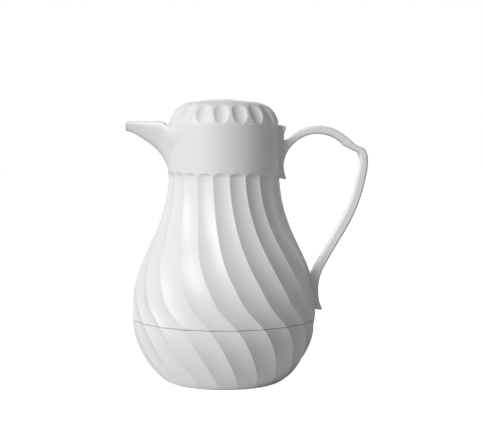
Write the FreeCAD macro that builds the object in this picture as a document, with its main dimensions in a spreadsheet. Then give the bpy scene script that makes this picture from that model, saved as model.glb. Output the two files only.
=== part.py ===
import FreeCAD, Part
import math
import os
import re
import Sketcher

# Foam-insulated thermal jug with twisted flutes, a pouring spout, a strap handle and a lid that twists to
# pour. Millimetres and degrees. The origin is the middle of the base on the jug's axis, +Z is up, the handle
# is towards +X and the spout towards -X.

Vector = FreeCAD.Vector

# Driving sizes
SIZES = {
    # Body outline
    "collar_radius": 46.5,
    "belly_radius": 76.9,
    "rim_height": 212.9,
    "seam_height": 52.3,
    "seam_gap": 0.5,
    "foot_ring_inset": 4.5,
    "foot_recess_depth": 2.5,
    "base_floor": 3.0,
    "shell_wall": 2.4,
    "rim_lip_height": 0.8,
    "rim_round": 1.2,
    # Flutes
    "flute_count": 22,
    "flute_depth": 1.9,
    "flute_twist": 55.2,
    "flute_phase": 259.4,
    "collar_height": 44.9,
    "flute_straight": 2.6,
    "flute_end_radius": 5.3,
    # Joint between the two shells
    "spigot_height": 4.0,
    "spigot_thickness": 1.2,
    "joint_clearance": 0.1,
    # Spout
    "spout_length": 34.9,
    "spout_rise": 3.6,
    "spout_drop": 47.0,
    "spout_width": 41.0,
    "channel_width": 30.0,
    "channel_height": 18.0,
    "lip_round": 1.3,
    # Liner and neck
    "neck_inset": 10.5,
    "foam_thickness": 14.1,
    "liner_wall": 2.0,
    "liner_floor_inset": 16.8,
    "liner_base_height": 14.0,
    "liner_low_height": 34.0,
    "liner_high_height": 76.0,
    "liner_neck_length": 36.0,
    "liner_drop": 36.9,
    "liner_round": 22.0,
    "gasket_thickness": 1.5,
    "gasket_inset": 0.2,
    "pour_flange_height": 2.5,
    "pour_collar_drop": 2.9,
    "duct_wall": 2.0,
    "foam_clearance": 0.1,
    # Filling hole in the base
    "fill_hole_radius": 6.0,
    "fill_head_radius": 8.0,
    "fill_head_height": 1.2,
    # Handle
    "handle_reach": 73.6,
    "handle_drop": 0.2,
    "handle_foot_rise": 7.3,
    "handle_width": 15.0,
    "handle_round": 2.0,
    "peg_radius": 2.0,
    "peg_short": 0.8,
    "upper_peg_drop": 37.3,
    "lower_peg_rise": 7.4,
    "upper_screw_drop": 19.9,
    "lower_screw_rise": 26.4,
    "upper_boss_depth": 4.6,
    "lower_boss_depth": 6.3,
    "boss_radius": 5.5,
    "screw_radius": 1.9,
    "screw_length": 12.2,
    "screw_head_radius": 3.6,
    "screw_head_height": 2.2,
    "washer_radius": 4.6,
    "washer_thickness": 0.8,
    # Lid
    "lid_gap": 0.3,
    "lid_inset": 0.8,
    "lid_clearance": 0.2,
    "lid_height": 21.7,
    "lid_wall": 3.8,
    "lid_rim_wall": 2.2,
    "lid_edge_round": 0.4,
    "scoop_count": 18,
    "scoop_radius": 11.4,
    "scoop_depth": 2.4,
    "scoop_tilt": 31.0,
    "scoop_length": 32.0,
    "scoop_height": 9.6,
    "scoop_middle_inset": 3.0,
    "scoop_phase": 7.5,
    "shoulder_share": 0.67,
    "shoulder_fall_share": 0.143,
    "side_share": 0.931,
    "side_rise_share": 0.447,
    "shoulder_inset_share": 0.4,
    "side_inset_share": 0.87,
    "side_drop_share": 0.49,
    # Stopper
    "stopper_clearance": 0.4,
    "stopper_wall": 2.8,
    "stopper_length": 32.2,
    "flange_thickness": 2.0,
    "flange_clearance": 0.2,
    "inlet_radius": 9.0,
    "inlet_inset": 15.0,
    "groove_depth": 1.2,
    "groove_height": 3.2,
    "groove_rise": 2.5,
    "groove_clearance": 0.1,
    "port_margin": 1.0,
    "seal_clearance": 0.15,
    "rim_gasket_width": 3.0,
    "rim_gasket_inset": 0.4,
    # Spare length by which a cutting form passes the piece that it cuts
    "overrun": 5.0,
}

# Sizes that follow from the driving ones
FOLLOWING_SIZES = {
    "flute_height": "rim_height - collar_height",
    "foot_recess_radius": "collar_radius - foot_ring_inset",
    "spout_reach": "collar_radius + spout_length",
    "neck_radius": "collar_radius - neck_inset",
    "liner_radius": "belly_radius - foam_thickness",
    "liner_floor_radius": "liner_radius - liner_floor_inset",
    "liner_top_height": "rim_height - liner_drop",
    "liner_neck_height": "liner_top_height - liner_neck_length",
    "handle_top_height": "rim_height - handle_drop",
    "handle_foot_height": "seam_height + handle_foot_rise",
    "upper_peg_height": "rim_height - upper_peg_drop",
    "lower_peg_height": "handle_foot_height + lower_peg_rise",
    "upper_screw_height": "rim_height - upper_screw_drop",
    "lower_screw_height": "handle_foot_height + lower_screw_rise",
    "lid_radius": "collar_radius - lid_inset",
    "scoop_middle_radius": "lid_radius - scoop_middle_inset",
    "inlet_offset": "neck_radius - inlet_inset",
}

# Stations of the fluted body from foot to collar: height as a share of flute_height, ridge radius as a share
# of the way from collar_radius to belly_radius, turn as a share of flute_twist, depth as a share of
# flute_depth
BODY_STATION_SHARES = [
    (0.000, 0.033, 1.000, 0.00),
    (0.025, 0.266, 0.987, 0.36),
    (0.055, 0.431, 0.964, 0.65),
    (0.116, 0.671, 0.891, 0.90),
    (0.176, 0.832, 0.819, 1.00),
    (0.236, 0.941, 0.745, 1.00),
    (0.296, 0.990, 0.659, 1.00),
    (0.355, 0.993, 0.543, 1.00),
    (0.414, 0.974, 0.424, 1.00),
    (0.473, 0.934, 0.350, 1.00),
    (0.548, 0.826, 0.264, 1.00),
    (0.625, 0.668, 0.190, 0.97),
    (0.710, 0.438, 0.127, 0.92),
    (0.798, 0.230, 0.076, 0.86),
    (0.888, 0.086, 0.033, 0.80),
    (0.946, 0.030, 0.013, 0.79),
    (1.000, 0.000, 0.000, 0.79),
]

# Stations of the spout from the collar to the tip: distance from the axis as a share of spout_reach, top as a
# share of spout_rise above the rim, underside as a share of spout_drop below the rim, width as a share of
# spout_width, the lip's round as a share of lip_round
SPOUT_STATION_SHARES = [
    (0.430, 0.00, 1.000, 1.42, 1.0),
    (0.485, 0.00, 1.000, 1.19, 1.0),
    (0.520, 0.00, 0.960, 1.06, 1.0),
    (0.577, 0.20, 0.745, 0.90, 1.0),
    (0.620, 0.88, 0.580, 0.79, 1.0),
    (0.690, 1.00, 0.420, 0.66, 1.0),
    (0.780, 1.00, 0.290, 0.50, 1.0),
    (0.870, 1.00, 0.190, 0.37, 1.0),
    (0.945, 0.97, 0.120, 0.28, 0.9),
    (1.000, 0.75, 0.096, 0.24, 0.8),
]

# Stations of the channel inside the spout, from the neck to the tip: distance from the axis as a share of
# spout_reach, floor as a share of the duct floor's depth below the rim, width as a share of channel_width
CHANNEL_STATION_SHARES = [
    (0.440, 1.00, 1.00),
    (0.570, 0.98, 1.00),
    (0.660, 0.72, 0.83),
    (0.760, 0.46, 0.61),
    (0.860, 0.26, 0.42),
    (0.930, 0.15, 0.32),
    (1.010, 0.06, 0.24),
]

# Share of a spout section's width at a share of its depth, from the top edge down to the keel
SPOUT_SECTION_SHARES = [(1.00, 0.00), (0.86, 0.45), (0.52, 0.82), (0.00, 1.00)]

# Handle outline, in the order in which it is drawn. Each stretch starts where the one before it ended, and is
# a smooth curve through its points, or a straight line where it has one point. A point is its distance off
# the body's side as a share of handle_reach, and its height as a share of the way from handle_foot_height to
# handle_top_height.
HANDLE_EAR_SHARES = [
    [(-0.080, 1.000)],
    [(-0.001, 1.000)],
    [(0.003, 1.004)],
    [(0.066, 0.997)],
    [(0.074, 0.984)],
    [(0.046, 0.948), (0.050, 0.921)],
    [(0.109, 0.931)],
]
HANDLE_OUTSIDE_SHARES = [
    [(0.233, 0.976), (0.421, 1.000), (0.580, 0.990), (0.721, 0.954), (0.853, 0.900)],
    [(0.958, 0.877)],
    [
        (0.995, 0.835),
        (0.997, 0.786),
        (0.973, 0.709),
        (0.915, 0.633),
        (0.806, 0.543),
        (0.660, 0.458),
        (0.450, 0.360),
        (0.239, 0.262),
        (0.104, 0.179),
        (0.047, 0.088),
        (0.049, 0.044),
        (0.076, 0.005),
    ],
]
HANDLE_FOOT_SHARES = [
    [(0.064, -0.005)],
    [(0.005, 0.000)],
    [(-0.080, 0.000)],
    [(-0.080, 0.195)],
    [(0.007, 0.195)],
]
HANDLE_INSIDE_SHARES = [
    [
        (0.261, 0.327),
        (0.535, 0.458),
        (0.701, 0.549),
        (0.822, 0.646),
        (0.882, 0.741),
        (0.905, 0.836),
        (0.893, 0.852),
        (0.852, 0.862),
    ],
    [(0.730, 0.893)],
    [
        (0.595, 0.940),
        (0.433, 0.956),
        (0.310, 0.947),
        (0.199, 0.919),
        (0.111, 0.876),
        (0.057, 0.822),
        (0.046, 0.777),
        (0.076, 0.718),
    ],
]
HANDLE_BACK_SHARES = [
    [(0.063, 0.708)],
    [(0.003, 0.715)],
    [(-0.080, 0.715)],
]

# Most that the rounding of the handle's edges may take of its thinnest wall, under the thumb rest
ROUND_WALL_SHARE = 0.36

doc = FreeCAD.newDocument("ThermalJug")
sheet = doc.addObject("Spreadsheet::Sheet", "Sizes")
aliases = []


def add_size(alias, content):
    """Write a size into the next row of the sheet."""
    aliases.append(alias)
    row = len(aliases)
    sheet.set(f"A{row}", alias)
    sheet.set(f"B{row}", content)
    sheet.setAlias(f"B{row}", alias)


for size_name, size in SIZES.items():
    add_size(size_name, str(size))
for size_name, size_formula in FOLLOWING_SIZES.items():
    add_size(size_name, "=" + size_formula)
doc.recompute()


def formula(text):
    """The expression with each size's name made into a reference to its cell."""
    return re.sub(r"[a-z_]+", lambda found: "Sizes." + found[0] if found[0] in aliases else found[0], text)


def value(text):
    """What a formula of sizes comes to."""
    return float(sheet.evalExpression(formula(text)))


def bind(item, **formulas):
    """Bind properties to formulas of sizes. A double underscore in a name stands for a dot."""
    for name, text in formulas.items():
        item.setExpression(name.replace("__", "."), formula(text))


# Helpers for plain forms and booleans


def place(item, x="0", y="0", z="0"):
    bind(item, Placement__Base__x=x, Placement__Base__y=y, Placement__Base__z=z)
    return item


def cylinder(name, radius, height, z="0"):
    """An upright cylinder on the jug's axis."""
    item = doc.addObject("Part::Cylinder", name)
    bind(item, Radius=radius, Height=height)
    return place(item, z=z)


def box(name, length, width, height, x, y, z):
    item = doc.addObject("Part::Box", name)
    bind(item, Length=length, Width=width, Height=height)
    return place(item, x, y, z)


def cut(name, base, *tools):
    tool = tools[0] if len(tools) == 1 else fuse(name + "_tools", *tools)
    item = doc.addObject("Part::Cut", name)
    item.Base, item.Tool = base, tool
    return item


def fuse(name, *parts):
    item = doc.addObject("Part::MultiFuse", name)
    item.Shapes = list(parts)
    return item


def common(name, first, second):
    item = doc.addObject("Part::Common", name)
    item.Base, item.Tool = first, second
    return item


def coded(name, shape):
    item = doc.addObject("Part::Feature", name)
    item.Shape = shape
    return item


# Helpers for turned pieces


def plane(body, role):
    return next(item for item in body.Origin.OriginFeatures if item.Role == role)


def turned(name, outline):
    """A body turned from an outline of (radius, height) formulas. A third entry makes the way from the corner
    before an arc: through a point of its own, or centred on the axis."""
    body = doc.addObject("PartDesign::Body", name)
    sketch = body.newObject("Sketcher::SketchObject", name + "_outline")
    sketch.AttachmentSupport = [(plane(body, "XZ_Plane"), "")]
    sketch.MapMode = "FlatFace"
    draw(sketch, outline)
    turn = body.newObject("PartDesign::Revolution", name + "_turn")
    turn.Profile = sketch
    turn.ReferenceAxis = (sketch, ["V_Axis"])
    turn.Angle = 360
    body.Tip = turn
    return body


def edge_round(radius, height, inset, rise):
    """The end of a round on an outer corner, an inset beside the corner, and the point that it passes.
    The rise is the way from the corner to the round's start, and is negative where that lies lower."""
    slack = "(1 - cos(45))"
    middle = (f"{radius} - {inset} * {slack}", f"{height} + {rise} * {slack}")
    return (f"{radius} - {inset}", height, middle)


def draw(sketch, outline):
    """Draw a closed outline whose corners are all tied to the sheet."""
    points = [Vector(value(corner[0]), value(corner[1]), 0) for corner in outline]
    ends = []
    for index, corner in enumerate(outline):
        start, end = points[index - 1], points[index]
        if len(corner) == 3 and corner[2] == "centred":
            centre = Vector(0, (end.dot(end) - start.dot(start)) / (end.y - start.y) / 2, 0)
            halfway = (start + end) / 2 - centre
            middle = centre + halfway * ((start - centre).Length / halfway.Length)
            edge = sketch.addGeometry(Part.Arc(start, middle, end))
            sketch.addConstraint(Sketcher.Constraint("PointOnObject", edge, 3, -2))
        elif len(corner) == 3:
            middle = Vector(value(corner[2][0]), value(corner[2][1]), 0)
            edge = sketch.addGeometry(Part.Arc(start, middle, end))
            through = sketch.addGeometry(Part.Point(middle), True)
            tie(sketch, through, 1, corner[2])
            sketch.addConstraint(Sketcher.Constraint("PointOnObject", through, 1, edge))
        else:
            edge = sketch.addGeometry(Part.LineSegment(start, end))
        misses = [(sketch.getPoint(edge, vertex) - start).Length for vertex in (1, 2)]
        first = 1 + misses.index(min(misses))
        ends.append((edge, first, 3 - first))
    for index, corner in enumerate(outline):
        edge, _, last = ends[index]
        following, first, _ = ends[(index + 1) % len(ends)]
        sketch.addConstraint(Sketcher.Constraint("Coincident", edge, last, following, first))
        tie(sketch, edge, last, corner)


def tie(sketch, edge, end, corner):
    """Tie a point of a sketch to its two formulas."""
    for kind, text in zip(("DistanceX", "DistanceY"), corner):
        if value(text) == 0:
            axis = -2 if kind == "DistanceX" else -1
            sketch.addConstraint(Sketcher.Constraint("PointOnObject", edge, end, axis))
        else:
            number = sketch.addConstraint(Sketcher.Constraint(kind, -1, 1, edge, end, value(text)))
            sketch.setExpression(f"Constraints[{number}]", formula(text))


def round_rings(body, name, radius, rings):
    """Round the ring edges of a turned body that lie at the given (radius, height) formulas."""
    doc.recompute()
    base = body.Tip
    spans = [edge.BoundBox for edge in base.Shape.Edges]
    edges = []
    for ring in rings:
        at, height = value(ring[0]), value(ring[1])
        misses = [abs(span.XMax - at) + abs(span.ZMax - height) + span.ZLength for span in spans]
        edges.append(f"Edge{misses.index(min(misses)) + 1}")
    item = body.newObject("PartDesign::Fillet", name)
    item.Base = (base, edges)
    bind(item, Radius=radius)
    body.Tip = item
    return item


# The fluted body


def ridge_radius(height):
    """Radius of the flutes' ridges at a height, straight between stations and the collar's above them."""
    low, high = None, None
    for share, bulge, _, _ in BODY_STATION_SHARES:
        low, high = high, (share * value("flute_height"), bulge)
        if low and height <= high[0]:
            along = (height - low[0]) / (high[0] - low[0])
            bulge = low[1] + along * (high[1] - low[1])
            return value("collar_radius") + bulge * value("belly_radius - collar_radius")
    return value("collar_radius")


def flute_ring(share, bulge, turn, depth):
    """One closed ring of hollow arcs that meet in ridges."""
    count = int(value("flute_count"))
    height = share * value("flute_height")
    ridge = value("collar_radius") + bulge * value("belly_radius - collar_radius")
    hollow = ridge - depth * value("flute_depth")
    start = math.radians(value("flute_phase") + turn * value("flute_twist"))
    step = 2 * math.pi / count

    def point(radius, angle):
        return Vector(radius * math.cos(angle), radius * math.sin(angle), height)

    arcs = []
    for index in range(count):
        angle = start + index * step
        arc = Part.Arc(point(ridge, angle), point(hollow, angle + step / 2), point(ridge, angle + step))
        arcs.append(arc.toShape())
    return Part.Wire(arcs)


def fluted_form():
    return coded("fluted_form", Part.makeLoft([flute_ring(*shares) for shares in BODY_STATION_SHARES], True))


def flute_ends():
    """Round-nosed upright cutters that end the flutes in scallops under the collar."""
    count = int(value("flute_count"))
    ridge = value("collar_radius")
    hollow = ridge - BODY_STATION_SHARES[-1][3] * value("flute_depth")
    half_step = math.pi / count
    half_chord = ridge * math.sin(half_step)
    inset = ridge * math.cos(half_step) - hollow
    radius = (half_chord**2 + inset**2) / (2 * inset)
    nose = value("flute_end_radius")
    low = value("flute_height - overrun")
    top = value("flute_height + flute_straight") + nose
    cutter = Part.makeCylinder(radius, top - low, Vector(hollow + radius, 0, low))
    crown = [edge for edge in cutter.Edges if edge.BoundBox.ZMin > top - nose / 2]
    cutter = cutter.makeFillet(nose, crown)
    cutters = []
    for index in range(count):
        turned_cutter = cutter.copy()
        angle = value("flute_phase") + math.degrees(half_step * (2 * index + 1))
        turned_cutter.rotate(Vector(), Vector(0, 0, 1), angle)
        cutters.append(turned_cutter)
    return coded("flute_ends", Part.Compound(cutters))


def collar():
    """The smooth collar, with the lid's seat inside a rounded lip."""
    lip_top, lip_width = "rim_height + rim_lip_height", "(lid_inset - lid_clearance)"
    blank = turned(
        "collar_blank",
        [
            ("0", "flute_height"),
            ("collar_radius", "flute_height"),
            ("collar_radius", f"{lip_top} - rim_round"),
            edge_round("collar_radius", lip_top, lip_width, "(-rim_round)"),
            (f"collar_radius - {lip_width}", "rim_height"),
            ("0", "rim_height"),
        ],
    )
    return cut("collar", blank, flute_ends())


# The spout


def spout_section(distance, top, keel, half_width, lip=0):
    """A closed section across the spout: straight over the top, with a rounded lip, and rounded below."""
    shoulder = top - lip
    side = []
    for across, down in SPOUT_SECTION_SHARES:
        side.append((half_width * across, shoulder + (keel - shoulder) * down))
    if lip:
        side = [(half_width - lip, top)] + side
    curve = Part.BSplineCurve()
    mirrored = [(-across, height) for across, height in reversed(side[:-1])]
    curve.interpolate([Vector(-distance, across, height) for across, height in side + mirrored])
    edge = curve.toShape()
    lid = Part.makeLine(edge.Vertexes[-1].Point, edge.Vertexes[0].Point)
    return Part.Wire([edge, lid])


def spout_form():
    rim = value("rim_height")
    sections = []
    for away, rise, drop, width, lip_share in SPOUT_STATION_SHARES:
        top = rim + rise * value("spout_rise")
        keel = rim - drop * value("spout_drop")
        half_width = width * value("spout_width / 2")
        lip = value("lip_round") * lip_share
        sections.append(spout_section(away * value("spout_reach"), top, keel, half_width, lip))
    return coded("spout_form", Part.makeLoft(sections, True))


def spout_channel():
    rim = value("rim_height")
    top = rim + value("spout_rise + overrun")
    sections = []
    for away, drop, width in CHANNEL_STATION_SHARES:
        keel = rim - drop * value("pour_collar_drop + pour_flange_height + channel_height")
        half_width = width * value("channel_width / 2")
        sections.append(spout_section(away * value("spout_reach"), top, keel, half_width))
    return coded("spout_channel", Part.makeLoft(sections, True))


# The hollow of the shells


def cavity_radius(height):
    return ridge_radius(height) - value("flute_depth + shell_wall")


def cavity():
    """The hollow inside the two shells, from the base's floor to the rim."""
    floor = value("foot_recess_depth + base_floor")
    heights = [share * value("flute_height") for share, _, _, _ in BODY_STATION_SHARES[3::2]]
    outline = [(0, floor), (cavity_radius(floor + value("shell_wall")), floor)]
    outline += [(cavity_radius(height), height) for height in heights]
    outline += [(cavity_radius(value("rim_height")), value("rim_height + spout_rise + overrun"))]
    outline += [(0, outline[-1][1])]
    points = [Vector(radius, 0, height) for radius, height in outline]
    face = Part.Face(Part.makePolygon(points + points[:1]))
    return coded("cavity", face.revolve(Vector(), Vector(0, 0, 1), 360))


# The two shells


def screw_boss(name, height, depth):
    """A boss inside the shell with a flat face for a screw's washer, from that face to inside the wall."""
    at = value(height)
    reach = value("flute_depth + shell_wall / 2")
    face = ridge_radius(at) - value(depth)
    shape = Part.makeCylinder(
        value("boss_radius"), value(depth) - reach, Vector(face, 0, at), Vector(1, 0, 0)
    )
    return coded(name, shape)


def crosswise(name, radius, height, start, length):
    """A cylinder along +X at a height, from a distance off the ridges there."""
    at = value(height)
    start_point = Vector(ridge_radius(at) + value(start), 0, at)
    return coded(name, Part.makeCylinder(value(radius), value(length), start_point, Vector(1, 0, 0)))


def shells():
    outer = fuse("outer_form", fluted_form(), collar(), spout_form())
    hollow = cavity()
    channel = spout_channel()
    above = cylinder("above_seam", "spout_reach + overrun", "rim_height", z="seam_height + seam_gap / 2")
    below = cylinder("below_seam", "spout_reach + overrun", "seam_height - seam_gap / 2")

    seat = "seam_bore"
    ring_height = "spigot_height + seam_gap"
    ring_low = "seam_height - seam_gap"
    ring_outer = cylinder("spigot_outer", f"{seat} + spigot_thickness", ring_height, z=ring_low)
    ring_bore = cylinder("spigot_bore", seat, f"{ring_height} + overrun", z=ring_low)
    spigot = cut("spigot", ring_outer, ring_bore)
    rebate = cylinder(
        "spigot_rebate",
        f"{seat} + spigot_thickness + joint_clearance",
        "spigot_height + joint_clearance",
        z="seam_height",
    )

    upper_boss = screw_boss("upper_boss", "upper_screw_height", "upper_boss_depth")
    lower_boss = screw_boss("lower_boss", "lower_screw_height", "lower_boss_depth")
    hollow_shell = cut("upper_hollow", common("upper_form", outer, above), hollow, rebate)
    bossed = fuse("upper_bossed", hollow_shell, upper_boss, lower_boss)
    screw_bore, peg_bore = "screw_radius + joint_clearance", "peg_radius + joint_clearance"
    through = ("-overrun * 2", "overrun * 4")
    holes = [
        crosswise("upper_screw_hole", screw_bore, "upper_screw_height", *through),
        crosswise("lower_screw_hole", screw_bore, "lower_screw_height", *through),
        crosswise("upper_peg_hole", peg_bore, "upper_peg_height", *through),
        crosswise("lower_peg_hole", peg_bore, "lower_peg_height", *through),
    ]
    cut("upper_shell", bossed, channel, *holes)

    recess = cylinder("foot_recess", "foot_recess_radius", "foot_recess_depth")
    past_floor = "foot_recess_depth + base_floor + overrun"
    fill_hole = cylinder("fill_hole", "fill_hole_radius + joint_clearance", past_floor)
    cup = cut("cup_hollow", common("cup_form", outer, below), hollow, recess, fill_hole)
    fuse("base_cup", cup, spigot)
    return outer, hollow, (upper_boss, lower_boss)


# The liner, the neck and the foam


def liner_outline(wall):
    """The liner's outline at a distance inside its outer face, from the middle of its floor to its mouth."""
    return [
        ("0", f"liner_base_height + {wall}"),
        (f"liner_floor_radius - {wall} / 2", f"liner_base_height + {wall}"),
        (f"liner_radius - {wall}", "liner_low_height"),
        (f"liner_radius - {wall}", "liner_high_height"),
        (f"neck_radius + liner_wall - {wall}", "liner_neck_height"),
        (f"neck_radius + liner_wall - {wall}", "liner_top_height"),
    ]


def inner_liner():
    outside = liner_outline("0")
    inside = liner_outline("liner_wall")
    body = turned("inner_liner", outside + list(reversed(inside)))
    round_rings(body, "outside_round", "liner_round", outside[1:5])
    round_rings(body, "inside_round", "liner_round - liner_wall", inside[1:5])
    return body


def liner_form():
    """The liner's outside as one solid form, to shape the foam round it."""
    outside = liner_outline("0")
    body = turned("liner_form", outside + [("0", "liner_top_height")])
    round_rings(body, "form_round", "liner_round", outside[1:5])
    return body


def liner_gasket():
    low, high = "liner_top_height", "liner_top_height + gasket_thickness"
    inner, outer = "neck_radius + gasket_inset", "neck_radius + liner_wall"
    turned("liner_gasket", [(inner, low), (outer, low), (outer, high), (inner, high)])


def pour_collar():
    """The neck's ring: a tube under a flange, with a duct through it to the spout."""
    low, top = "liner_top_height + gasket_thickness", "rim_height - pour_collar_drop"
    under = f"{top} - pour_flange_height"
    edge = "collar_radius - flute_depth - shell_wall - foam_clearance"
    tube = "neck_radius + liner_wall"
    ring = turned(
        "pour_ring",
        [("neck_radius", low), (tube, low), (tube, under), (edge, under), (edge, top), ("neck_radius", top)],
    )
    block = box(
        "duct_block",
        f"{edge} - neck_radius - liner_wall / 2 + overrun",
        "channel_width + duct_wall * 2",
        "channel_height + duct_wall",
        f"-({edge}) - overrun",
        "-channel_width / 2 - duct_wall",
        f"{under} - channel_height - duct_wall",
    )
    duct = common("duct_outside", block, cylinder("duct_limit", edge, top))
    window = box(
        "duct_window",
        f"{edge} - neck_radius + overrun * 3",
        "channel_width",
        "channel_height",
        f"-({edge}) - overrun",
        "-channel_width / 2",
        f"{under} - channel_height",
    )
    cut("pour_collar", fuse("ducted_ring", ring, duct), window)
    return block


def body_foam(hollow, liner, duct_block, bosses):
    """The foam fills the space between the shells and the liner, up to the pour collar's flange."""
    top = "rim_height - pour_collar_drop - pour_flange_height - foam_clearance"
    fill = cylinder("foam_limit", "belly_radius + overrun", top)
    block = common("foam_form", hollow, fill)
    neck_hole = "neck_radius + liner_wall + foam_clearance"
    neck = cylinder("foam_neck", neck_hole, "rim_height", z="liner_top_height")
    pockets = [
        crosswise("upper_foam_pocket", "boss_radius", "upper_screw_height", "-overrun * 4", "overrun * 4"),
        crosswise("lower_foam_pocket", "boss_radius", "lower_screw_height", "-overrun * 3", "overrun * 3"),
    ]
    over_plug = "foot_recess_depth + base_floor + foam_clearance"
    fill_top = cylinder("foam_floor_clear", "fill_head_radius", over_plug)
    cut("body_foam", block, liner, neck, duct_block, fill_top, *bosses, *pockets)


def fill_plug():
    seat = "foot_recess_depth"
    low = "foot_recess_depth - fill_head_height"
    top = "foot_recess_depth + base_floor"
    turned(
        "fill_plug",
        [
            ("0", low),
            ("fill_head_radius", low),
            ("fill_head_radius", seat),
            ("fill_hole_radius", seat),
            ("fill_hole_radius", top),
            ("0", top),
        ],
    )


# The handle


def handle_point(stand, share):
    """A point of the handle's outline, off the body's side at its own height."""
    height = value("handle_foot_height") + share * value("handle_top_height - handle_foot_height")
    return Vector(ridge_radius(height) + stand * value("handle_reach"), 0, height)


def handle_edges(last, stretches):
    """The outline's edges from a point through its stretches, and the point that they end at."""
    edges = []
    for stretch in stretches:
        points = [last] + [handle_point(*entry) for entry in stretch]
        if len(points) > 2:
            curve = Part.BSplineCurve()
            curve.interpolate(points)
            edges.append(curve.toShape())
        else:
            edges.append(Part.makeLine(*points))
        last = points[-1]
    return edges, last


def strap_form():
    """The handle's outline drawn out to its width, with the edges of its free sides rounded."""
    ear, last = handle_edges(handle_point(*HANDLE_BACK_SHARES[-1][-1]), HANDLE_EAR_SHARES)
    outside, last = handle_edges(last, HANDLE_OUTSIDE_SHARES)
    foot, last = handle_edges(last, HANDLE_FOOT_SHARES)
    inside, last = handle_edges(last, HANDLE_INSIDE_SHARES)
    back, _ = handle_edges(last, HANDLE_BACK_SHARES)
    face = Part.Face(Part.Wire(ear + outside + foot + inside + back))
    width = value("handle_width")
    face.translate(Vector(0, -width / 2, 0))
    strap = face.extrude(Vector(0, width, 0))
    over_thumb = handle_point(*HANDLE_OUTSIDE_SHARES[0][-1])
    under_thumb = handle_point(*HANDLE_INSIDE_SHARES[0][-1])
    wall = over_thumb.distanceToPoint(under_thumb)
    round_size = min(value("handle_round"), wall * ROUND_WALL_SHARE)
    middles = [edge.CenterOfMass for edge in strap.Edges]
    rounded = []
    for edge in outside + inside:
        for side in (-width / 2, width / 2):
            gaps = [middle.distanceToPoint(edge.CenterOfMass + Vector(0, side, 0)) for middle in middles]
            rounded.append(strap.Edges[gaps.index(min(gaps))])
    return coded("handle_strap", strap.makeFillet(round_size, rounded))


def handle(outer):
    seated = cut("handle_seated", strap_form(), outer)
    tip = "peg_short - shell_wall"
    pegs = [
        crosswise("upper_peg", "peg_radius", "upper_peg_height", tip, "shell_wall * 2"),
        crosswise("lower_peg", "peg_radius", "lower_peg_height", f"{tip} - flute_depth", "shell_wall * 2"),
    ]
    pegged = fuse("handle_pegged", seated, *pegs)
    holes = [
        crosswise("upper_pilot", "screw_radius", "upper_screw_height", "-overrun", screw_end("upper")),
        crosswise("lower_pilot", "screw_radius", "lower_screw_height", "-overrun", screw_end("lower")),
    ]
    cut("handle", pegged, *holes)


def screw_end(which):
    """Length of a screw's pilot hole from the overrun inside the ridges to the screw's end."""
    return f"overrun + screw_length - {which}_boss_depth - washer_thickness"


def screws_and_washers():
    screws, washers = [], []
    for which in ("upper", "lower"):
        height = f"{which}_screw_height"
        seat = f"-{which}_boss_depth"
        under = f"{seat} - washer_thickness"
        head_end = f"{under} - screw_head_height"
        head = crosswise(f"{which}_head", "screw_head_radius", height, head_end, "screw_head_height")
        shank = crosswise(f"{which}_shank", "screw_radius", height, under, "screw_length")
        screws += [head, shank]
        disc = crosswise(f"{which}_disc", "washer_radius", height, under, "washer_thickness")
        bore = crosswise(f"{which}_bore", "screw_radius + joint_clearance", height, under, "washer_thickness")
        washers.append(cut(f"{which}_washer", disc, bore))
    fuse("handle_screws", *screws)
    fuse("handle_washers", *washers)


# The lid


def dome_outline(inset, low):
    """Half of the lid's dome at a distance inside its outer face, from the middle of its top to its edge."""
    foot = "rim_height + lid_gap"
    top = f"{foot} + lid_height - {inset}"
    shoulder = (
        f"lid_radius * shoulder_share - {inset} * shoulder_inset_share",
        f"{top} - lid_height * shoulder_fall_share",
    )
    side = (
        f"lid_radius * side_share - {inset} * side_inset_share",
        f"{foot} + lid_height * side_rise_share - {inset} * side_drop_share",
    )
    return [("0", top), (*shoulder, "centred"), (f"lid_radius - {inset}", low, side)]


def lid_cover():
    """The dome with its ring of oval finger scoops, open below."""
    low = "rim_height + lid_gap"
    ledge = f"{low} + flange_thickness + joint_clearance"
    skirt = "lid_radius - lid_rim_wall"
    middle_in, shoulder_in, edge_in = dome_outline("lid_wall", ledge)
    inside = [(skirt, low), (skirt, ledge), edge_in[:2], (*shoulder_in[:2], edge_in[2])]
    outside = dome_outline("0", f"{low} + lid_edge_round")
    outside += [edge_round("lid_radius", low, "lid_edge_round", "lid_edge_round")]
    body = turned("lid_cover", outside + inside + [(*middle_in, shoulder_in[2])])
    reach = "(scoop_radius - scoop_depth)"
    scoop = body.newObject("PartDesign::SubtractiveCylinder", "scoop")
    scoop.Placement = FreeCAD.Placement(Vector(), FreeCAD.Rotation(Vector(0, -1, 0), value("scoop_tilt")))
    bind(scoop, Radius="scoop_radius", Height="scoop_length", Placement__Rotation__Angle="scoop_tilt")
    place(
        scoop,
        f"scoop_middle_radius + {reach} * cos(scoop_tilt) + scoop_length / 2 * sin(scoop_tilt)",
        z=f"{low} + scoop_height + {reach} * sin(scoop_tilt) - scoop_length / 2 * cos(scoop_tilt)",
    )
    ring = body.newObject("PartDesign::PolarPattern", "scoops")
    ring.Originals = [scoop]
    ring.Axis = (plane(body, "Z_Axis"), [""])
    ring.Angle = 360
    bind(ring, Occurrences="scoop_count")
    body.Tip = ring
    bind(body, Placement__Rotation__Angle="scoop_phase")


def lid_foam():
    low = "rim_height + lid_gap + flange_thickness"
    outline = dome_outline("(lid_wall + foam_clearance)", low)
    turned("lid_foam", outline + [("0", low)])


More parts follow.
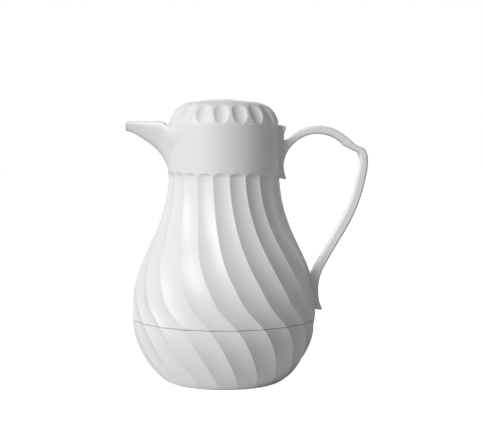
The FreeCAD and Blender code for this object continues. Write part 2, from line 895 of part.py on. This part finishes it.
def stopper():
    """The plug under the lid: a flange that closes the cover, and a hollow plug with a port in its side and
    an inlet in its floor."""
    flange = "rim_height + lid_gap"
    top = f"{flange} + flange_thickness"
    floor = f"{flange} - stopper_length"
    groove = f"{floor} + groove_rise"
    edge = "lid_radius - lid_rim_wall - flange_clearance"
    plug = "neck_radius - stopper_clearance"
    bore = f"{plug} - stopper_wall"
    body = turned(
        "stopper",
        [
            ("0", top),
            (edge, top),
            (edge, flange),
            (plug, flange),
            (plug, f"{groove} + groove_height"),
            (f"{plug} - groove_depth", f"{groove} + groove_height"),
            (f"{plug} - groove_depth", groove),
            (plug, groove),
            (plug, floor),
            ("0", floor),
            ("0", f"{floor} + flange_thickness"),
            (bore, f"{floor} + flange_thickness"),
            (bore, flange),
            ("0", flange),
        ],
    )
    port = body.newObject("PartDesign::SubtractiveBox", "port")
    sill = "rim_height - pour_collar_drop - pour_flange_height - channel_height"
    bind(port, Length="channel_width - port_margin * 2", Width="neck_radius")
    bind(port, Height="channel_height - port_margin")
    place(port, "port_margin - channel_width / 2", "0", sill)
    inlet = body.newObject("PartDesign::SubtractiveCylinder", "inlet")
    bind(inlet, Radius="inlet_radius", Height="flange_thickness + overrun")
    place(inlet, "0", "inlet_offset", f"{floor} - overrun / 2")
    body.Tip = inlet


def stopper_seal():
    """The ring in the stopper's groove, with a lip against the neck."""
    play = "groove_clearance"
    inner = f"neck_radius - stopper_clearance - groove_depth + {play}"
    outer = "neck_radius - seal_clearance"
    low = f"rim_height + lid_gap - stopper_length + groove_rise + {play}"
    high = f"{low} + groove_height - {play} * 2"
    heel = "neck_radius - stopper_clearance"
    turned(
        "stopper_seal",
        [
            (inner, low),
            (heel, low),
            (outer, f"{low} + groove_height / 4"),
            (outer, f"{low} + groove_height / 2"),
            (heel, high),
            (inner, high),
        ],
    )


def rim_gasket():
    """The flat ring under the stopper's flange, over the pour collar."""
    high = "rim_height + lid_gap"
    low = "rim_height - pour_collar_drop + lid_gap"
    inner = "neck_radius + liner_wall + rim_gasket_inset"
    outer = f"{inner} + rim_gasket_width"
    turned("rim_gasket", [(inner, low), (outer, low), (outer, high), (inner, high)])


NODES = [
    "upper_shell",
    "base_cup",
    "body_foam",
    "inner_liner",
    "liner_gasket",
    "pour_collar",
    "fill_plug",
    "handle",
    "handle_screws",
    "handle_washers",
    "lid_cover",
    "lid_foam",
    "stopper",
    "rim_gasket",
    "stopper_seal",
]


def check_and_export():
    doc.recompute()
    for item in doc.Objects:
        if "Invalid" in item.State or "Error" in item.State:
            raise RuntimeError(f"{item.Name} failed: {item.State}")
    os.makedirs("parts", exist_ok=True)
    for name in NODES:
        shape = doc.getObject(name).Shape
        if shape.isNull() or not shape.isValid() or shape.Volume <= 0:
            raise RuntimeError(f"{name} has no sound solid")
    for name in NODES:
        item = doc.getObject(name)
        shape = item.Shape
        shape.exportStep(f"parts/{item.Label}.step")
        print(f"{name}: {len(shape.Solids)} solid, {len(shape.Faces)} faces, {shape.Volume / 1000:.1f} cm3")


add_size("seam_bore", str(cavity_radius(value("seam_height"))))
doc.recompute()
outer_form, hollow_form, boss_forms = shells()
inner_liner()
liner_gasket()
duct_form = pour_collar()
body_foam(hollow_form, liner_form(), duct_form, boss_forms)
fill_plug()
handle(outer_form)
screws_and_washers()
lid_cover()
lid_foam()
stopper()
stopper_seal()
rim_gasket()
check_and_export()
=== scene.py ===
import math

import bpy
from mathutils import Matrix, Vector


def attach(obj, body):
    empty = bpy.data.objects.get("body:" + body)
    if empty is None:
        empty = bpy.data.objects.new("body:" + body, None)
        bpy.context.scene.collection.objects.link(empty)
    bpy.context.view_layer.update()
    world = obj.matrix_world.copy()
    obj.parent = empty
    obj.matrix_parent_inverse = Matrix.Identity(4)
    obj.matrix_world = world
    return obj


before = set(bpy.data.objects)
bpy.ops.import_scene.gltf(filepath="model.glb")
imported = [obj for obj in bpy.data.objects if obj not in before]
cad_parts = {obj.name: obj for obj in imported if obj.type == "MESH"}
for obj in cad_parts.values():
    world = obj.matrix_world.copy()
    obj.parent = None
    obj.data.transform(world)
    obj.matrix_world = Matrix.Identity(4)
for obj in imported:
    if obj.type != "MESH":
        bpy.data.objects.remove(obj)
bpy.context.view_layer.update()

MM = 0.001
WHITE = (1.0, 1.0, 1.0, 1.0)

# The photograph's view: a lens and a sensor in millimetres, and the camera's and the aim's places
CAMERA_LENS, SENSOR_WIDTH = 87.95, 36
CAMERA_DISTANCE, EYE_HEIGHT = 986.5 * MM, 200.9 * MM
AIM_RIGHT, AIM_HEIGHT = 14.8 * MM, 141.5 * MM

# The studio's floor and its light on the object
FLOOR_SIZE = 12000 * MM
FLOOR_GLOW = 0.92
SOFT_LIGHT = 0.07

# The edges' rounds in the white mouldings: a fine one, and the wide one where the spout flows into the
# collar, which grows from the first place to the second along the spout, up from the flutes and down from
# the rim
FINE_ROUND, ROOT_ROUND = 0.35 * MM, 3.2 * MM
ROOT_ALONG_SPOUT = (-20 * MM, -34 * MM)
ROOT_OVER_FLUTES = (169 * MM, 174 * MM)
ROOT_UNDER_RIM = (211 * MM, 206 * MM)

# The duct's two cheeks: the pour collar's duct that they stand in, their front, back, nose and hollow, how
# wide their edges are rounded, the length of the form that cuts the hollow, and the edges that shade smooth
DUCT_HALF_WIDTH = 15 * MM
DUCT_LOW, DUCT_HIGH = 189.5 * MM, 207.5 * MM
CHEEK_FRONT, CHEEK_BACK, CHEEK_NOSE = -37.3 * MM, -34.5 * MM, 8.8 * MM
CHEEK_BORE_RADIUS = 37.85 * MM
CHEEK_EDGE = 0.15 * MM
BORE_CUTTER_LENGTH = 1000 * MM
SMOOTH_ANGLE = math.radians(30)

# The sockets of a Mix node that mixes colours
MIX_FACTOR, MIX_FIRST, MIX_SECOND, MIX_RESULT = 0, 6, 7, 2

# The range that a noise texture mostly keeps to
NOISE_LOW, NOISE_HIGH = 0.3, 0.7

# The index of refraction of ABS
ABS_IOR = 1.53


# Camera and studio


def add_camera():
    """The photograph's view: a metre off, level with the collar, looking a little down and to the right."""
    data = bpy.data.cameras.new("camera")
    data.lens = CAMERA_LENS
    data.sensor_width = SENSOR_WIDTH
    camera = bpy.data.objects.new("camera", data)
    bpy.context.scene.collection.objects.link(camera)
    camera.location = (0, -CAMERA_DISTANCE, EYE_HEIGHT)
    aim = Vector((AIM_RIGHT, 0, AIM_HEIGHT))
    camera.rotation_euler = (aim - camera.location).to_track_quat("-Z", "Y").to_euler()
    bpy.context.scene.camera = camera
    bpy.context.scene.view_settings.view_transform = "Standard"


def add_lamp(name, bearing, climb, spread, strength):
    """A broad far lamp, set by degrees from the front towards the handle, and up."""
    data = bpy.data.lights.new(name, "SUN")
    data.energy = strength
    data.angle = math.radians(spread)
    lamp = bpy.data.objects.new(name, data)
    bpy.context.scene.collection.objects.link(lamp)
    turn, rise = math.radians(bearing), math.radians(climb)
    way = Vector((math.sin(turn) * math.cos(rise), -math.cos(turn) * math.cos(rise), math.sin(rise)))
    lamp.rotation_euler = (-way).to_track_quat("-Z", "Y").to_euler()


def add_world():
    """A white background for the camera and in reflections, and an even soft light on the object."""
    world = bpy.data.worlds.new("studio")
    bpy.context.scene.world = world
    world.use_nodes = True
    tree = world.node_tree
    tree.nodes.clear()
    path = add_node(tree, "ShaderNodeLightPath")
    direct = {0: path.outputs["Is Camera Ray"], 1: path.outputs["Is Transmission Ray"]}
    direct = add_node(tree, "ShaderNodeMath", direct, operation="MAXIMUM")
    seen = {0: direct.outputs[0], 1: path.outputs["Is Glossy Ray"]}
    seen = add_node(tree, "ShaderNodeMath", seen, operation="MAXIMUM")
    soft = add_node(tree, "ShaderNodeBackground", {"Color": WHITE, "Strength": SOFT_LIGHT})
    white = add_node(tree, "ShaderNodeBackground", {"Color": WHITE, "Strength": 1.0})
    both = {0: seen.outputs[0], 1: soft.outputs[0], 2: white.outputs[0]}
    both = add_node(tree, "ShaderNodeMixShader", both)
    add_node(tree, "ShaderNodeOutputWorld", {"Surface": both.outputs[0]})


def add_floor():
    """A wide sheet of paper under the object."""
    bpy.ops.object.select_all(action="DESELECT")
    bpy.ops.mesh.primitive_plane_add(size=FLOOR_SIZE, location=(0, 0, 0))
    floor = bpy.context.object
    floor.name = "floor"
    floor.data.materials.append(matt_white_paper())


# Materials


def linear(hex_colour):
    """An sRGB hex colour as linear red, green, blue and alpha."""
    parts = [int(hex_colour[i : i + 2], 16) / 255 for i in (0, 2, 4)]
    return (*[p / 12.92 if p <= 0.04045 else ((p + 0.055) / 1.055) ** 2.4 for p in parts], 1.0)


def per_mm(size):
    """The scale of a texture whose features are this many millimetres across."""
    return 1 / (size * MM)


def add_node(tree, kind, inputs=None, **settings):
    """Add a node with its settings. Its inputs are values, or the outputs of other nodes."""
    node = tree.nodes.new(kind)
    for name, setting in settings.items():
        setattr(node, name, setting)
    for name, given in (inputs or {}).items():
        if isinstance(given, bpy.types.NodeSocket):
            tree.links.new(given, node.inputs[name])
        else:
            node.inputs[name].default_value = given
    return node


def new_material(name):
    """An empty material, its node tree, and the object's own coordinates in it."""
    material = bpy.data.materials.new(name)
    material.use_nodes = True
    tree = material.node_tree
    tree.nodes.clear()
    return material, tree, add_node(tree, "ShaderNodeTexCoord").outputs["Object"]


def edge_width(tree, along, height):
    """How wide the mould's edges are rounded: a fine round on the flutes, and a wide one where the spout
    flows into the collar."""
    start, full = ROOT_ALONG_SPOUT
    spout_side = {"Value": along, "From Min": start, "From Max": full, "To Min": 0.0, "To Max": 1.0}
    spout_side = add_node(tree, "ShaderNodeMapRange", spout_side)
    start, full = ROOT_OVER_FLUTES
    over_flutes = {"Value": height, "From Min": start, "From Max": full, "To Min": 0.0, "To Max": 1.0}
    over_flutes = add_node(tree, "ShaderNodeMapRange", over_flutes)
    start, full = ROOT_UNDER_RIM
    under_rim = {"Value": height, "From Min": start, "From Max": full, "To Min": 0.0, "To Max": ROOT_ROUND}
    under_rim = add_node(tree, "ShaderNodeMapRange", under_rim)
    root = {0: spout_side.outputs[0], 1: over_flutes.outputs[0]}
    root = add_node(tree, "ShaderNodeMath", root, operation="MULTIPLY")
    width = {0: root.outputs[0], 1: under_rim.outputs[0], 2: FINE_ROUND}
    return add_node(tree, "ShaderNodeMath", width, operation="MULTIPLY_ADD").outputs[0]


def moulded_white_abs(name, colour, aged_colour, roughness):
    """White ABS from a satin tool: a soft even sheen, a faint orange peel, slow sink behind the thick places,
    gloss that hands have dulled a little, and grey scuffs where it stands on tables."""
    material, tree, place = new_material(name)
    peel_size, sink_size, handling_size, grit_size = 1.4, 26, 45, 0.9
    peel_depth, sink_depth, scuff_height = 0.04 * MM, 0.3 * MM, 1.2 * MM
    handling_dulls, scuffs_dull, scuff_colour = 0.03, 0.4, "c9c9c6"
    peel = {"Vector": place, "Scale": per_mm(peel_size), "Detail": 2.0}
    peel = add_node(tree, "ShaderNodeTexNoise", peel)
    sink = {"Vector": place, "Scale": per_mm(sink_size), "Detail": 1.0}
    sink = add_node(tree, "ShaderNodeTexNoise", sink)
    handling = {"Vector": place, "Scale": per_mm(handling_size), "Detail": 2.0, "Roughness": 0.4}
    handling = add_node(tree, "ShaderNodeTexNoise", handling)
    dulled = {"Value": handling.outputs[0], "From Min": NOISE_LOW, "From Max": NOISE_HIGH}
    dulled.update({"To Min": roughness - handling_dulls, "To Max": roughness + handling_dulls})
    dulled = add_node(tree, "ShaderNodeMapRange", dulled)
    along, _, height = add_node(tree, "ShaderNodeSeparateXYZ", {0: place}).outputs
    near_table = {"Value": height, "From Min": 0.0, "From Max": scuff_height, "To Min": 1.0, "To Max": 0.0}
    near_table = add_node(tree, "ShaderNodeMapRange", near_table)
    grit = {"Vector": place, "Scale": per_mm(grit_size), "Detail": 4.0}
    grit = add_node(tree, "ShaderNodeTexNoise", grit)
    scuffs = {0: near_table.outputs[0], 1: grit.outputs[0]}
    scuffs = add_node(tree, "ShaderNodeMath", scuffs, operation="MULTIPLY")
    sheen = {0: scuffs.outputs[0], 1: scuffs_dull, 2: dulled.outputs[0]}
    sheen = add_node(tree, "ShaderNodeMath", sheen, operation="MULTIPLY_ADD")
    tint = {MIX_FACTOR: handling.outputs[0], MIX_FIRST: linear(colour), MIX_SECOND: linear(aged_colour)}
    tint = add_node(tree, "ShaderNodeMix", tint, data_type="RGBA")
    scuffed = {MIX_FACTOR: scuffs.outputs[0], MIX_FIRST: tint.outputs[MIX_RESULT]}
    scuffed[MIX_SECOND] = linear(scuff_colour)
    tint = add_node(tree, "ShaderNodeMix", scuffed, data_type="RGBA")
    soft_edge = add_node(tree, "ShaderNodeBevel", {"Radius": edge_width(tree, along, height)}, samples=6)
    waves = {"Height": sink.outputs[0], "Strength": 0.3, "Distance": sink_depth}
    waves = add_node(tree, "ShaderNodeBump", {**waves, "Normal": soft_edge.outputs[0]})
    relief = {"Height": peel.outputs[0], "Strength": 0.08, "Distance": peel_depth}
    relief = add_node(tree, "ShaderNodeBump", {**relief, "Normal": waves.outputs[0]})
    surface = {"Base Color": tint.outputs[MIX_RESULT], "Roughness": sheen.outputs[0], "IOR": ABS_IOR}
    surface = add_node(tree, "ShaderNodeBsdfPrincipled", {**surface, "Normal": relief.outputs[0]})
    add_node(tree, "ShaderNodeOutputMaterial", {"Surface": surface.outputs[0]})
    return material


def white_abs_with_parting_line(name, colour, aged_colour, roughness):
    """The strap's white ABS: hands have satined it, and the two halves of its tool left a hairline ridge
    along its middle."""
    material, tree, place = new_material(name)
    line_width, line_rise, touch_size = 0.2 * MM, 0.08 * MM, 24
    across = add_node(tree, "ShaderNodeSeparateXYZ", {0: place}).outputs["Y"]
    off_middle = add_node(tree, "ShaderNodeMath", {0: across}, operation="ABSOLUTE")
    ridge = {"Value": off_middle.outputs[0], "From Min": 0.0, "From Max": line_width, "To Min": 1.0}
    ridge = add_node(tree, "ShaderNodeMapRange", {**ridge, "To Max": 0.0}, interpolation_type="SMOOTHSTEP")
    touch = {"Vector": place, "Scale": per_mm(touch_size), "Detail": 2.0, "Roughness": 0.4}
    touch = add_node(tree, "ShaderNodeTexNoise", touch)
    satined = {"Value": touch.outputs[0], "From Min": NOISE_LOW, "From Max": NOISE_HIGH}
    satined.update({"To Min": roughness - 0.04, "To Max": roughness + 0.05})
    satined = add_node(tree, "ShaderNodeMapRange", satined)
    tint = {MIX_FACTOR: touch.outputs[0], MIX_FIRST: linear(colour), MIX_SECOND: linear(aged_colour)}
    tint = add_node(tree, "ShaderNodeMix", tint, data_type="RGBA")
    relief = {"Height": ridge.outputs[0], "Strength": 0.5, "Distance": line_rise}
    relief = add_node(tree, "ShaderNodeBump", relief)
    surface = {"Base Color": tint.outputs[MIX_RESULT], "Roughness": satined.outputs[0], "IOR": ABS_IOR}
    surface = add_node(tree, "ShaderNodeBsdfPrincipled", {**surface, "Normal": relief.outputs[0]})
    add_node(tree, "ShaderNodeOutputMaterial", {"Surface": surface.outputs[0]})
    return material


def natural_polypropylene(name, colour, cloudy_colour):
    """Natural polypropylene for the liner and the stopper: milky and waxy, with the slow flow clouds of its
    moulding."""
    material, tree, place = new_material(name)
    cloud_size, grain_size = 24, 0.7
    grain_depth, light_depth = 0.03 * MM, 2 * MM
    clouds = {"Vector": place, "Scale": per_mm(cloud_size), "Detail": 3.0}
    clouds = add_node(tree, "ShaderNodeTexNoise", clouds)
    grain = {"Vector": place, "Scale": per_mm(grain_size), "Detail": 3.0}
    grain = add_node(tree, "ShaderNodeTexNoise", grain)
    tint = {MIX_FACTOR: clouds.outputs[0], MIX_FIRST: linear(colour), MIX_SECOND: linear(cloudy_colour)}
    tint = add_node(tree, "ShaderNodeMix", tint, data_type="RGBA")
    waxy = {"Value": clouds.outputs[0], "From Min": NOISE_LOW, "From Max": NOISE_HIGH}
    waxy = add_node(tree, "ShaderNodeMapRange", {**waxy, "To Min": 0.38, "To Max": 0.5})
    relief = {"Height": grain.outputs[0], "Strength": 0.15, "Distance": grain_depth}
    relief = add_node(tree, "ShaderNodeBump", relief)
    surface = {"Base Color": tint.outputs[MIX_RESULT], "Roughness": waxy.outputs[0], "IOR": 1.49}
    surface.update({"Subsurface Weight": 0.15, "Subsurface Scale": light_depth})
    surface["Normal"] = relief.outputs[0]
    surface = add_node(tree, "ShaderNodeBsdfPrincipled", surface)
    add_node(tree, "ShaderNodeOutputMaterial", {"Surface": surface.outputs[0]})
    return material


def rigid_polyurethane_foam(name, colour, pit_shade_and_cure_colour):
    """Poured polyurethane foam: a dry cream skin, pitted with fine cells, with painted shade in the pits and
    a cured tone that varies at random.
    """
    material, tree, place = new_material(name)
    cell_size, cell_depth, cured_size = 0.8, 0.3 * MM, 15
    cells = {"Vector": place, "Scale": per_mm(cell_size)}
    cells = add_node(tree, "ShaderNodeTexVoronoi", cells)
    cured = {"Vector": place, "Scale": per_mm(cured_size), "Detail": 4.0}
    cured = add_node(tree, "ShaderNodeTexNoise", cured)
    pitted = {"Value": cells.outputs["Distance"], "From Min": 0.1, "From Max": 0.6}
    pitted = add_node(tree, "ShaderNodeMapRange", {**pitted, "To Min": 0.0, "To Max": 1.0})
    # painted shade: the bottoms of the pits take the darker colour, mixed with a cured tone that varies at
    # random
    shade = {0: pitted.outputs[0], 1: cured.outputs[0]}
    shade = add_node(tree, "ShaderNodeMath", shade, operation="MULTIPLY")
    tint = {MIX_FACTOR: shade.outputs[0], MIX_FIRST: linear(pit_shade_and_cure_colour), MIX_SECOND: linear(colour)}
    tint = add_node(tree, "ShaderNodeMix", tint, data_type="RGBA")
    relief = {"Height": pitted.outputs[0], "Strength": 0.7, "Distance": cell_depth}
    relief = add_node(tree, "ShaderNodeBump", relief)
    surface = {"Base Color": tint.outputs[MIX_RESULT], "Roughness": 0.9, "IOR": 1.5}
    surface = add_node(tree, "ShaderNodeBsdfPrincipled", {**surface, "Normal": relief.outputs[0]})
    add_node(tree, "ShaderNodeOutputMaterial", {"Surface": surface.outputs[0]})
    return material


def pressed_silicone_rubber(name, colour, bloom_colour):
    """Silicone rubber, pressed in a blasted tool: matt and translucent grey, with a pale bloom."""
    material, tree, place = new_material(name)
    bloom_size, blasted_size, blasted_depth = 6, 0.3, 0.03 * MM
    bloom = {"Vector": place, "Scale": per_mm(bloom_size), "Detail": 5.0}
    bloom = add_node(tree, "ShaderNodeTexNoise", bloom)
    blasted = {"Vector": place, "Scale": per_mm(blasted_size), "Detail": 2.0}
    blasted = add_node(tree, "ShaderNodeTexNoise", blasted)
    tint = {MIX_FACTOR: bloom.outputs[0], MIX_FIRST: linear(colour), MIX_SECOND: linear(bloom_colour)}
    tint = add_node(tree, "ShaderNodeMix", tint, data_type="RGBA")
    relief = {"Height": blasted.outputs[0], "Strength": 0.3, "Distance": blasted_depth}
    relief = add_node(tree, "ShaderNodeBump", relief)
    surface = {"Base Color": tint.outputs[MIX_RESULT], "Roughness": 0.6, "IOR": 1.41}
    surface = add_node(tree, "ShaderNodeBsdfPrincipled", {**surface, "Normal": relief.outputs[0]})
    add_node(tree, "ShaderNodeOutputMaterial", {"Surface": surface.outputs[0]})
    return material


def zinc_plated_steel(name, colour, passivated_colour):
    """Zinc-plated steel: bright and a little blue, with the fine rings of turning across the screws' way."""
    material, tree, place = new_material(name)
    ring_gap, ring_depth, stain_size = 0.25, 0.01 * MM, 2.5
    along = add_node(tree, "ShaderNodeSeparateXYZ", {0: place}).outputs["X"]
    rings = {0: along, 1: 2 * math.pi * per_mm(ring_gap)}
    rings = add_node(tree, "ShaderNodeMath", rings, operation="MULTIPLY")
    rings = add_node(tree, "ShaderNodeMath", {0: rings.outputs[0]}, operation="SINE")
    stain = {"Vector": place, "Scale": per_mm(stain_size), "Detail": 4.0}
    stain = add_node(tree, "ShaderNodeTexNoise", stain)
    tint = {MIX_FACTOR: stain.outputs[0], MIX_FIRST: linear(colour), MIX_SECOND: linear(passivated_colour)}
    tint = add_node(tree, "ShaderNodeMix", tint, data_type="RGBA")
    worn = {"Value": stain.outputs[0], "From Min": NOISE_LOW, "From Max": NOISE_HIGH}
    worn = add_node(tree, "ShaderNodeMapRange", {**worn, "To Min": 0.24, "To Max": 0.4})
    relief = {"Height": rings.outputs[0], "Strength": 0.2, "Distance": ring_depth}
    relief = add_node(tree, "ShaderNodeBump", relief)
    surface = {"Base Color": tint.outputs[MIX_RESULT], "Metallic": 1.0, "Roughness": worn.outputs[0]}
    surface = add_node(tree, "ShaderNodeBsdfPrincipled", {**surface, "Normal": relief.outputs[0]})
    add_node(tree, "ShaderNodeOutputMaterial", {"Surface": surface.outputs[0]})
    return material


def matt_white_paper():
    """Matt white paper that the camera sees as white, with the object's shadow."""
    material, tree, place = new_material("matt_white_paper")
    fibre_size = 0.9
    path = add_node(tree, "ShaderNodeLightPath")
    fibre = {"Vector": place, "Scale": per_mm(fibre_size), "Detail": 3.0}
    fibre = add_node(tree, "ShaderNodeTexNoise", fibre)
    tint = {MIX_FACTOR: fibre.outputs[0], MIX_FIRST: linear("e2e2e2"), MIX_SECOND: linear("e6e6e6")}
    tint = add_node(tree, "ShaderNodeMix", tint, data_type="RGBA")
    paper = add_node(tree, "ShaderNodeBsdfDiffuse", {"Color": tint.outputs[MIX_RESULT]})
    glow = add_node(tree, "ShaderNodeEmission", {"Color": WHITE, "Strength": FLOOR_GLOW})
    lit = add_node(tree, "ShaderNodeAddShader", {0: paper.outputs[0], 1: glow.outputs[0]})
    both = {0: path.outputs["Is Camera Ray"], 1: paper.outputs[0], 2: lit.outputs[0]}
    both = add_node(tree, "ShaderNodeMixShader", both)
    add_node(tree, "ShaderNodeOutputMaterial", {"Surface": both.outputs[0]})
    return material


# The duct's cheeks


def apply_modifier(piece, kind, **settings):
    """Add a modifier with its settings to the active piece and apply it."""
    modifier = piece.modifiers.new(kind.lower(), kind)
    for name, setting in settings.items():
        setattr(modifier, name, setting)
    bpy.ops.object.modifier_apply(modifier=modifier.name)


def add_duct_cheeks(material):
    """Two cheeks that cover the foam at the sides of the pour collar's duct: flat towards the spout, hollowed
    round the neck's bore, with a blunt nose. One is made and mirrored."""
    bpy.ops.object.select_all(action="DESELECT")
    bpy.ops.mesh.primitive_cylinder_add(vertices=256, radius=CHEEK_BORE_RADIUS, depth=BORE_CUTTER_LENGTH)
    bore = bpy.context.object
    low = Vector((CHEEK_FRONT, CHEEK_NOSE, DUCT_LOW))
    high = Vector((CHEEK_BACK, DUCT_HALF_WIDTH, DUCT_HIGH))
    bpy.ops.object.select_all(action="DESELECT")
    bpy.ops.mesh.primitive_cube_add(size=1, location=(low + high) / 2, scale=high - low)
    cheeks = bpy.context.object
    cheeks.name = "duct_cheeks"
    bpy.ops.object.transform_apply(location=True, rotation=True, scale=True)
    apply_modifier(cheeks, "BOOLEAN", operation="DIFFERENCE", object=bore, solver="EXACT")
    apply_modifier(cheeks, "BEVEL", width=CHEEK_EDGE, segments=2, limit_method="ANGLE")
    apply_modifier(cheeks, "MIRROR", use_axis=(False, True, False))
    bpy.data.objects.remove(bore)
    bpy.ops.object.mode_set(mode="EDIT")
    bpy.ops.mesh.select_all(action="SELECT")
    bpy.ops.mesh.normals_make_consistent(inside=False)
    bpy.ops.object.mode_set(mode="OBJECT")
    bpy.ops.object.shade_smooth_by_angle(angle=SMOOTH_ANGLE)
    cheeks.data.materials.append(material)
    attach(cheeks, "jug")


# The finishes


def dress(material, *nodes):
    """Give CAD nodes their finish."""
    for node in nodes:
        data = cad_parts[node].data
        data.materials.clear()
        data.materials.append(material)


shell_abs = moulded_white_abs("moulded_white_abs", "f4f4f3", "f1f1ef", roughness=0.42)
lid_abs = moulded_white_abs("moulded_white_lid_abs", "f4f4f3", "f0f0ee", roughness=0.4)
strap_abs = white_abs_with_parting_line("satined_white_strap_abs", "f4f4f3", "f0f0ee", roughness=0.4)
dress(shell_abs, "upper_shell", "base_cup")
dress(lid_abs, "lid_cover")
dress(strap_abs, "handle")
milky_plastic = natural_polypropylene("natural_polypropylene", "eceae4", "e2e0d9")
dress(milky_plastic, "inner_liner", "pour_collar", "stopper")
dress(natural_polypropylene("natural_polypropylene_plug", "f0efeb", "e6e4de"), "fill_plug")
dress(rigid_polyurethane_foam("rigid_polyurethane_foam", "e9dcb8", "cdb98a"), "body_foam", "lid_foam")
rings = ("rim_gasket", "stopper_seal", "liner_gasket")
dress(pressed_silicone_rubber("pressed_silicone_rubber", "cfd0cf", "dddddb"), *rings)
dress(zinc_plated_steel("zinc_plated_steel", "c3c5c8", "b4bac4"), "handle_screws", "handle_washers")
add_duct_cheeks(milky_plastic)

add_camera()
add_world()
add_lamp("key", bearing=-47, climb=28, spread=32, strength=2.4)
add_lamp("back", bearing=175, climb=2, spread=30, strength=0.7)
add_floor()
